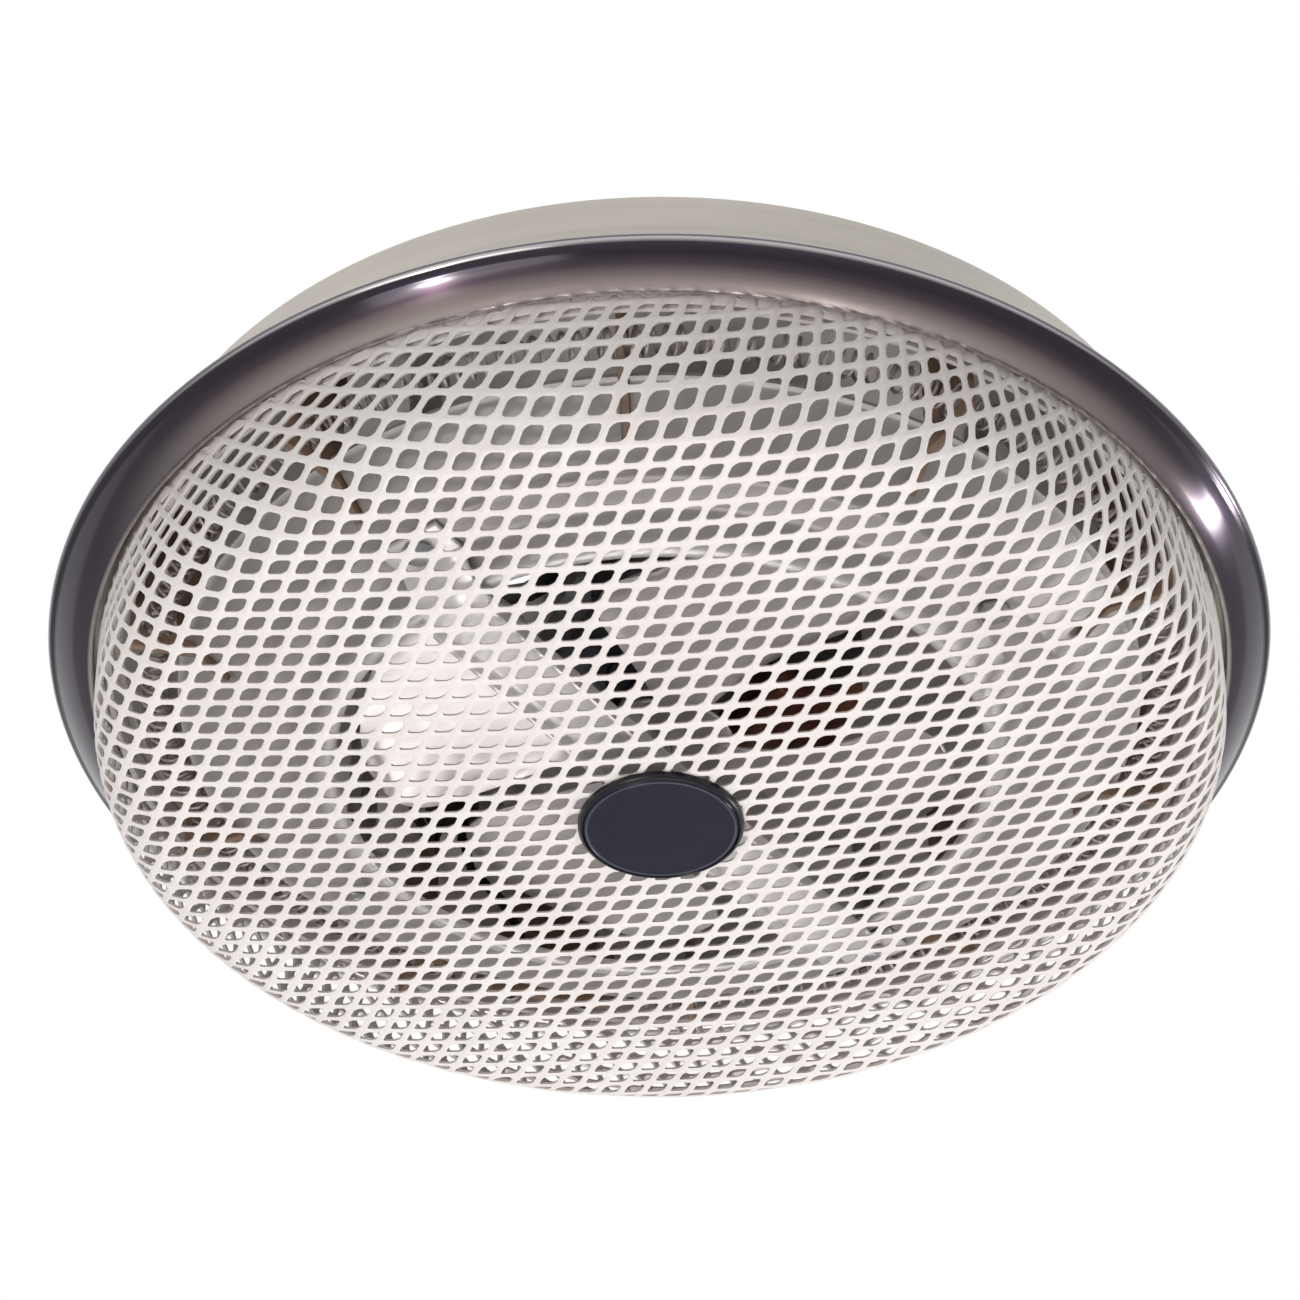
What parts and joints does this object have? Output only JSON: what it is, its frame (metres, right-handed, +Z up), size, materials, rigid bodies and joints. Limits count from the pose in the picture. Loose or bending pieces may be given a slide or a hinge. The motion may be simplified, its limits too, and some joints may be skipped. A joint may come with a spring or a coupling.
{
  "type": "ceiling fan heater",
  "caption": "Round low fan heater for a ceiling: a steel pan with a bright trim ring, a domed mesh grille held by a centre knob, and a motor, fan and wire element inside.",
  "frame": {"origin": "centre of the face that lies against the ceiling, under the outlet box", "axes": "+Z up into the ceiling, -Y towards the person who looks up at the front, +X to that person's right"},
  "size_m": [0.2822, 0.283, 0.0756],
  "materials": {
    "satin_steel": "satin, warm grey",
    "dark_chrome": "polished, reflecting a dark room",
    "galvanised": "satin",
    "bright_aluminium": "satin, bright",
    "plate_finish": "satin",
    "painted_net": "cream white, semi-gloss",
    "mica": "matte, brown",
    "element_wire": "oxidised grey",
    "laminations": "matte, dark",
    "winding": "enamelled copper wire under a wrap",
    "cast_bracket": "satin",
    "bronze": "sintered, matte",
    "steel": "zinc plated",
    "brass": "turned",
    "dark_plastic": "glossy, near-black blue",
    "medallion_face": "glossy, dark navy",
    "phenolic": "matte, dark brown",
    "white_lead": "matte",
    "black_lead": "matte",
    "bushing": "matte, black"
  },
  "bodies": {
    "housing": {"ceiling_pan": "satin_steel", "element_coil": "element_wire", "element_support_1": "mica", "element_support_10": "mica", "element_support_2": "mica", "element_support_3": "mica", "element_support_4": "mica", "element_support_5": "mica", "element_support_6": "mica", "element_support_7": "mica", "element_support_8": "mica", "element_support_9": "mica", "grille_strap": "bright_aluminium", "grille_stud": "steel", "lead_cutout_to_element": "black_lead", "lead_line_to_cutout": "black_lead", "lead_motor_to_line": "black_lead", "lead_motor_to_neutral": "white_lead", "lead_neutral_to_element": "white_lead", "motor_bearing_lower": "bronze", "motor_bearing_upper": "bronze", "motor_bracket_lower": "cast_bracket", "motor_bracket_upper": "cast_bracket", "motor_screw_1": "steel", "motor_screw_2": "steel", "motor_spacer_1": "steel", "motor_spacer_2": "steel", "motor_stack": "laminations", "motor_winding": "winding", "orifice_plate": "plate_finish", "plate_post_1": "steel", "plate_post_2": "steel", "plate_post_3": "steel", "plate_post_4": "steel", "plate_screw_1": "steel", "plate_screw_2": "steel", "plate_screw_3": "steel", "plate_screw_4": "steel", "stud_nut": "steel", "terminal_board": "mica", "terminal_bolt_1": "steel", "terminal_bolt_2": "steel", "thermal_cutout": "phenolic", "thermal_cutout_cap": "galvanised", "trim_ring": "dark_chrome", "trim_screw_1": "steel", "trim_screw_2": "steel", "trim_screw_3": "steel", "wire_bushing": "bushing", "wire_nut_line": "phenolic", "wire_nut_neutral": "phenolic"},
    "fan_rotor": {"motor_rotor": "laminations", "motor_shaft": "steel", "fan_hub": "brass", "fan_blades": "bright_aluminium"},
    "grille_body": {"grille": "painted_net", "grille_centre_plate": "galvanised"},
    "knob_body": {"knob": "dark_plastic", "knob_insert": "brass", "medallion_disc": "medallion_face"}
  },
  "joints": [
    {"name": "fan_spin", "type": "hinge", "parent": "housing", "child": "fan_rotor", "pos_m": [0, 0, 0], "axis": [0, 0, 1], "continuous": true},
    {"name": "grille_lower", "type": "slide", "parent": "housing", "child": "grille_body", "axis": [0, 0, -1], "range_m": [0, 0.00635]},
    {"name": "knob_turn", "type": "hinge", "parent": "grille_body", "child": "knob_body", "pos_m": [0, 0, 0], "axis": [0, 0, -1], "range_deg": [0, 2160]}
  ],
  "couplings": [
    {"joint": "knob_turn", "follows": "grille_lower", "rad_per_m": 5936.8}
  ]
}
